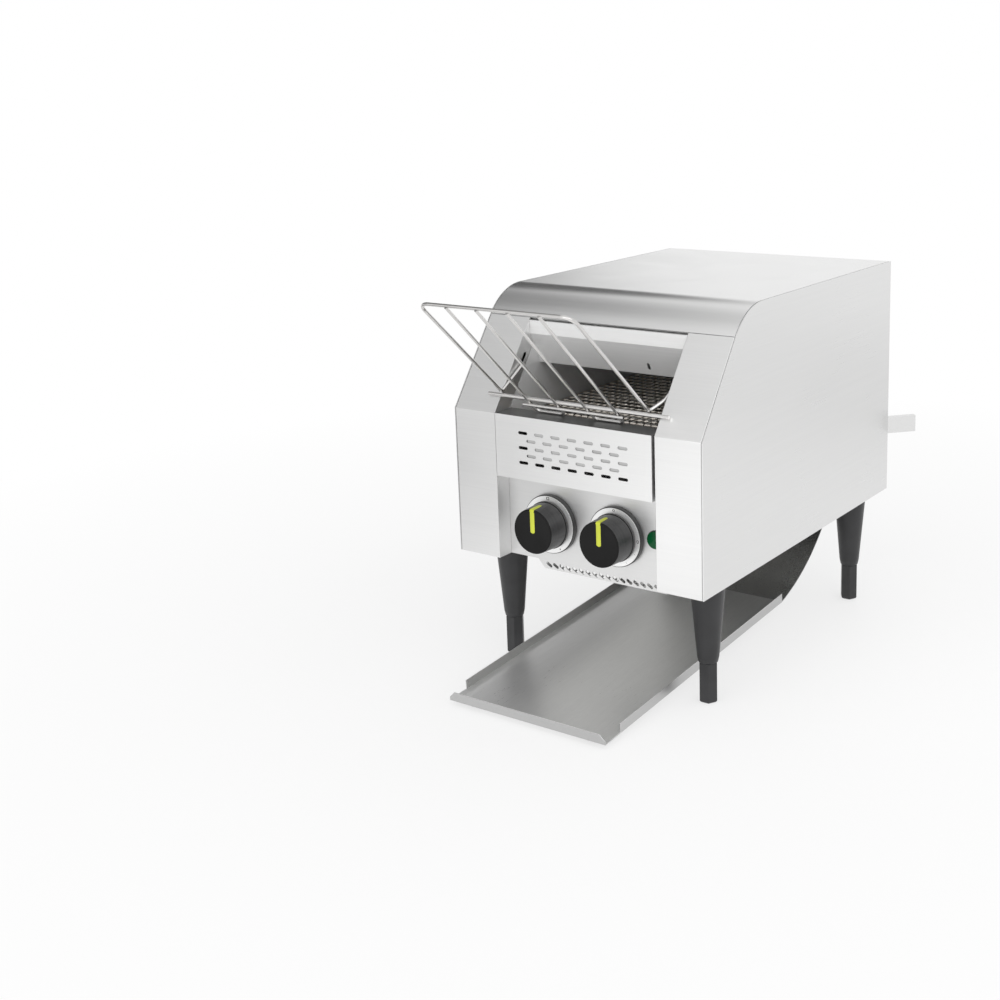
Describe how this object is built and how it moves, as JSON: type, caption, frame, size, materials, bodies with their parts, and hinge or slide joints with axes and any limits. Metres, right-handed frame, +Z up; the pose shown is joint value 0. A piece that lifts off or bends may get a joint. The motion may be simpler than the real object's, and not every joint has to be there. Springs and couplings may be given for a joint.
{
  "type": "conveyor toaster",
  "caption": "Countertop conveyor toaster: steel casing on tapered legs, wire bread rack over the feed opening, driven wire belt, two knobs, rear chute and sloping exit tray.",
  "frame": {"origin": "on the worktop, under the middle of the whole length and width", "axes": "+X to the right seen from the front, +Y from the front to the back, +Z up"},
  "size_m": [0.3312, 0.561, 0.4017],
  "materials": {
    "stainless_sheet": "fine vertical brushing",
    "inner_sheet": "mill finish, a little heat-stained",
    "tray_steel": "dull brushed",
    "chute_steel": "dark smooth sheet",
    "zinc_steel": "zinc plated",
    "belt_wire": "heat-tinted wire",
    "rack_wire": "bright",
    "wheel_steel": "turned",
    "bush_bronze": "sintered bronze",
    "quartz_tube": "milky tube",
    "ceramic": "unglazed ceramic",
    "black_knob": "fine grained",
    "lime_pointer": "smooth",
    "dial_silver": "satin, concentric",
    "dial_black": "smooth",
    "lamp_green": "clear moulded lens",
    "charcoal_plastic": "moulded, slightly satin",
    "pad_rubber": "matt",
    "fan_plastic": "moulded",
    "motor_paint": "black coated",
    "switch_plastic": "thermoset",
    "board_green": "printed board",
    "screw_steel": "pan head"
  },
  "bodies": {
    "casing": {"right_side_panel": "stainless_sheet", "left_side_panel": "stainless_sheet", "right_front_pillar": "stainless_sheet", "left_front_pillar": "stainless_sheet", "top_cover": "stainless_sheet", "rear_panel": "stainless_sheet", "bottom_plate": "zinc_steel", "vent_panel": "stainless_sheet", "control_panel": "stainless_sheet", "rear_spacer": "stainless_sheet", "case_screws": "screw_steel", "right_tunnel_wall": "inner_sheet", "left_tunnel_wall": "inner_sheet", "entry_baffle": "inner_sheet", "compartment_cover": "inner_sheet", "upper_reflector": "inner_sheet", "upper_heaters": "quartz_tube", "lower_heaters": "quartz_tube", "heater_caps": "ceramic", "conveyor_belt": "belt_wire", "shaft_bushes": "bush_bronze", "drive_chain": "wheel_steel", "gear_motor": "motor_paint", "motor_bracket": "zinc_steel", "dial_plates": "dial_silver", "dial_seats": "dial_black", "function_switch": "switch_plastic", "speed_regulator": "switch_plastic", "lamp_lens": "lamp_green", "lamp_body": "black_knob", "fan_frame": "fan_plastic", "terminal_block": "ceramic", "control_board": "board_green", "cable_gland": "charcoal_plastic", "exit_chute": "chute_steel", "front_left_leg": "charcoal_plastic", "front_right_leg": "charcoal_plastic", "rear_left_leg": "charcoal_plastic", "rear_right_leg": "charcoal_plastic"},
    "drive_roller": {"drive_shaft": "wheel_steel", "drive_wheels": "wheel_steel", "drive_chain_wheel": "wheel_steel"},
    "idler_roller": {"idler_shaft": "wheel_steel", "idler_wheels": "wheel_steel"},
    "motor_output": {"motor_shaft": "wheel_steel", "motor_chain_wheel": "wheel_steel"},
    "fan": {"fan_rotor": "fan_plastic"},
    "function_control": {"function_knob": "black_knob", "function_pointer": "lime_pointer", "function_shaft": "wheel_steel"},
    "speed_control": {"speed_knob": "black_knob", "speed_pointer": "lime_pointer", "speed_shaft": "wheel_steel"},
    "tray": {"exit_tray": "tray_steel", "tray_pads": "pad_rubber"},
    "rack": {"wire_rack": "rack_wire"},
    "front_left_foot": {"front_left_foot": "charcoal_plastic"},
    "front_right_foot": {"front_right_foot": "charcoal_plastic"},
    "rear_left_foot": {"rear_left_foot": "charcoal_plastic"},
    "rear_right_foot": {"rear_right_foot": "charcoal_plastic"}
  },
  "joints": [
    {"name": "drive_spin", "type": "hinge", "parent": "casing", "child": "drive_roller", "pos_m": [0, 0.17985, 0.2494], "axis": [1, 0, 0], "continuous": true},
    {"name": "idler_spin", "type": "hinge", "parent": "casing", "child": "idler_roller", "pos_m": [0, -0.11225, 0.2494], "axis": [1, 0, 0], "continuous": true},
    {"name": "motor_spin", "type": "hinge", "parent": "casing", "child": "motor_output", "pos_m": [0.112, 0.07975, 0.176], "axis": [1, 0, 0], "continuous": true},
    {"name": "fan_spin", "type": "hinge", "parent": "casing", "child": "fan", "pos_m": [-0.025, -0.05425, 0.1372], "axis": [0, 0, 1], "continuous": true},
    {"name": "function_knob_turn", "type": "hinge", "parent": "casing", "child": "function_control", "pos_m": [-0.0405, -0.15805, 0.164], "axis": [0, 1, 0], "range_deg": [0, 270]},
    {"name": "speed_knob_turn", "type": "hinge", "parent": "casing", "child": "speed_control", "pos_m": [0.0375, -0.15805, 0.164], "axis": [0, 1, 0], "range_deg": [0, 300]},
    {"name": "tray_slide", "type": "slide", "parent": "casing", "child": "tray", "axis": [0, -1, 0], "range_m": [0, 0.25]},
    {"name": "rack_swing", "type": "hinge", "parent": "casing", "child": "rack", "pos_m": [0, -0.1237, 0.31619], "axis": [-1, 0, 0], "range_deg": [0, 60]},
    {"name": "front_left_foot_adjust", "type": "slide", "parent": "casing", "child": "front_left_foot", "axis": [0, 0, -1], "range_m": [0, 0.02]},
    {"name": "front_right_foot_adjust", "type": "slide", "parent": "casing", "child": "front_right_foot", "axis": [0, 0, -1], "range_m": [0, 0.02]},
    {"name": "rear_left_foot_adjust", "type": "slide", "parent": "casing", "child": "rear_left_foot", "axis": [0, 0, -1], "range_m": [0, 0.02]},
    {"name": "rear_right_foot_adjust", "type": "slide", "parent": "casing", "child": "rear_right_foot", "axis": [0, 0, -1], "range_m": [0, 0.02]}
  ],
  "couplings": [
    {"joint": "idler_spin", "follows": "drive_spin", "ratio": 1},
    {"joint": "motor_spin", "follows": "drive_spin", "ratio": 2}
  ]
}
